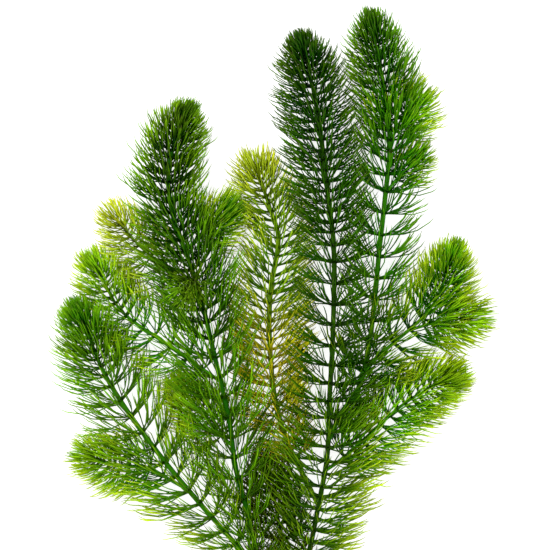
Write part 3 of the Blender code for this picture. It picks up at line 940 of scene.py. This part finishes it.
def plant_material(context, shoot):
    """The finish of one shoot: dull, softly mottled skin in the colours of its dress, with painted shade and
    backlight.
    """
    colours = context.scene.hornwort_colours
    material = bpy.data.materials.new(shoot.name + "_finish")
    material.use_nodes = True
    tree = material.node_tree
    shader = tree.nodes["Principled BSDF"]
    tint = add_node(tree, "ShaderNodeGroup", node_tree=plant_tint())
    for socket, name in zip(TINTS, (*DRESSES[shoot.dress], "dry_point")):
        tint.inputs[socket].default_value = (*getattr(colours, name), 1.0)
    bump = add_node(tree, "ShaderNodeBump", {
        "Height": tint.outputs["Relief"], "Strength": RELIEF_STRENGTH, "Distance": RELIEF_DEPTH,
    })
    tree.links.new(tint.outputs["Colour"], shader.inputs["Base Color"])
    tree.links.new(bump.outputs["Normal"], shader.inputs["Normal"])
    shader.inputs["Roughness"].default_value = SKIN_ROUGHNESS
    shader.inputs["Specular IOR Level"].default_value = SKIN_SPECULAR
    return material


WHITE = (1.0, 1.0, 1.0, 1.0)
FLOOR_ROUGHNESS = 0.8
FLOOR_SIDES = 96
LIGHT_SIZE = 0.9
KEY_PLACE = (-0.5, 0.6, 1.3)
FILL_PLACE = (0.7, -0.4, 1.0)
VIEW_DEPTH = 20.0


def floor_material(stage):
    material = bpy.data.materials.new("floor_finish")
    material.use_nodes = True
    shader = material.node_tree.nodes["Principled BSDF"]
    shader.inputs["Base Color"].default_value = (*stage.floor_colour, 1.0)
    shader.inputs["Roughness"].default_value = FLOOR_ROUGHNESS
    shader.inputs["Emission Color"].default_value = WHITE
    shader.inputs["Emission Strength"].default_value = stage.floor_glow
    return material


# Operators

class HORNWORT_OT_dark_shoots(bpy.types.Operator):
    """Grow the two tall dark shoots"""

    bl_idname = "hornwort.dark_shoots"
    bl_label = "Dark shoots"

    def execute(self, context):
        return grow_shoots(context, "main_shoot", "left_shoot")


class HORNWORT_OT_green_shoots(bpy.types.Operator):
    """Grow the green shoots at the right and the lower left, and the inner side shoot"""

    bl_idname = "hornwort.green_shoots"
    bl_label = "Green shoots"

    def execute(self, context):
        return grow_shoots(context, "right_shoot", "lower_left_shoot", "inner_left_branch")


class HORNWORT_OT_side_branches(bpy.types.Operator):
    """Grow the bright side branches"""

    bl_idname = "hornwort.side_branches"
    bl_label = "Side branches"

    def execute(self, context):
        return grow_shoots(
            context, "right_branch", "right_branch_fork", "lower_right_branch", "left_branch",
            "low_left_branch", "hidden_left_branch", "middle_right_twig",
        )


class HORNWORT_OT_yellow_shoots(bpy.types.Operator):
    """Grow the yellow-green shoot in the middle and the pale tips"""

    bl_idname = "hornwort.yellow_shoots"
    bl_label = "Yellow shoots"

    def execute(self, context):
        return grow_shoots(context, "middle_shoot", "middle_twig", "upper_left_branch", "upper_right_twig")


class HORNWORT_OT_olive_shoots(bpy.types.Operator):
    """Grow the low olive shoot and the twig that points up"""

    bl_idname = "hornwort.olive_shoots"
    bl_label = "Olive shoots"

    def execute(self, context):
        return grow_shoots(context, "low_middle_shoot", "upright_twig")


def add_floor(context, stage):
    bm = bmesh.new()
    bmesh.ops.create_circle(bm, segments=FLOOR_SIDES, radius=stage.floor_radius, cap_ends=True)
    bmesh.ops.recalc_face_normals(bm, faces=bm.faces)
    mesh = bpy.data.meshes.new("floor")
    bm.to_mesh(mesh)
    bm.free()
    mesh.materials.append(floor_material(stage))
    floor = bpy.data.objects.new("floor", mesh)
    context.scene.collection.objects.link(floor)


def add_soft_light(context, name, place, aim, watts):
    light = bpy.data.lights.new(name, "AREA")
    light.shape = "DISK"
    light.size = LIGHT_SIZE
    light.energy = watts
    lamp = bpy.data.objects.new(name, light)
    lamp.location = place
    lamp.rotation_euler = (Vector(aim) - Vector(place)).to_track_quat("-Z", "Y").to_euler()
    context.scene.collection.objects.link(lamp)


def add_camera(context, stage):
    """A long lens straight above the plant, with the growing tips at the top of the picture."""
    data = bpy.data.cameras.new("camera")
    data.lens = stage.lens
    data.clip_end = VIEW_DEPTH
    camera = bpy.data.objects.new("camera", data)
    distance = stage.view_width * data.lens / data.sensor_width
    camera.location = (stage.view_x, stage.view_y, stage.view_height + distance)
    context.scene.collection.objects.link(camera)
    context.scene.camera = camera


class HORNWORT_OT_stage(bpy.types.Operator):
    """Add the pale floor, the soft light and the camera above the plant"""

    bl_idname = "hornwort.stage"
    bl_label = "Stage"

    def execute(self, context):
        stage = context.scene.hornwort_stage
        add_floor(context, stage)
        world = bpy.data.worlds.new("even_white")
        world.use_nodes = True
        sky = world.node_tree.nodes["Background"].inputs
        sky["Color"].default_value = WHITE
        sky["Strength"].default_value = stage.sky
        context.scene.world = world
        middle = (stage.view_x, stage.view_y, 0.0)
        add_soft_light(context, "key_light", KEY_PLACE, middle, stage.key)
        add_soft_light(context, "fill_light", FILL_PLACE, middle, stage.fill)
        add_camera(context, stage)
        context.scene.view_settings.view_transform = "Standard"
        return {"FINISHED"}


OPERATORS = (
    HORNWORT_OT_dark_shoots,
    HORNWORT_OT_green_shoots,
    HORNWORT_OT_side_branches,
    HORNWORT_OT_yellow_shoots,
    HORNWORT_OT_olive_shoots,
    HORNWORT_OT_stage,
)
SETTINGS = {
    "hornwort_leaves": HornwortLeaves,
    "hornwort_colours": HornwortColours,
    "hornwort_stage": HornwortStage,
}


class HORNWORT_PT_sidebar(bpy.types.Panel):
    """The steps that make the plant, with their settings"""

    bl_idname = "HORNWORT_PT_sidebar"
    bl_label = "Hornwort"
    bl_space_type = "VIEW_3D"
    bl_region_type = "UI"
    bl_category = "Hornwort"

    def draw(self, context):
        for operator in OPERATORS:
            self.layout.operator(operator.bl_idname)
        for name, settings in SETTINGS.items():
            box = self.layout.box()
            for value in settings.__annotations__:
                box.prop(getattr(context.scene, name), value)


def register():
    for cls in (*SETTINGS.values(), *OPERATORS, HORNWORT_PT_sidebar):
        bpy.utils.register_class(cls)
    for name, settings in SETTINGS.items():
        setattr(bpy.types.Scene, name, PointerProperty(type=settings))


def unregister():
    for name in SETTINGS:
        delattr(bpy.types.Scene, name)
    for cls in reversed((*SETTINGS.values(), *OPERATORS, HORNWORT_PT_sidebar)):
        bpy.utils.unregister_class(cls)


def main():
    register()
    bpy.ops.hornwort.dark_shoots()
    bpy.ops.hornwort.green_shoots()
    bpy.ops.hornwort.side_branches()
    bpy.ops.hornwort.yellow_shoots()
    bpy.ops.hornwort.olive_shoots()
    bpy.ops.hornwort.stage()


if __name__ == "__main__":
    main()
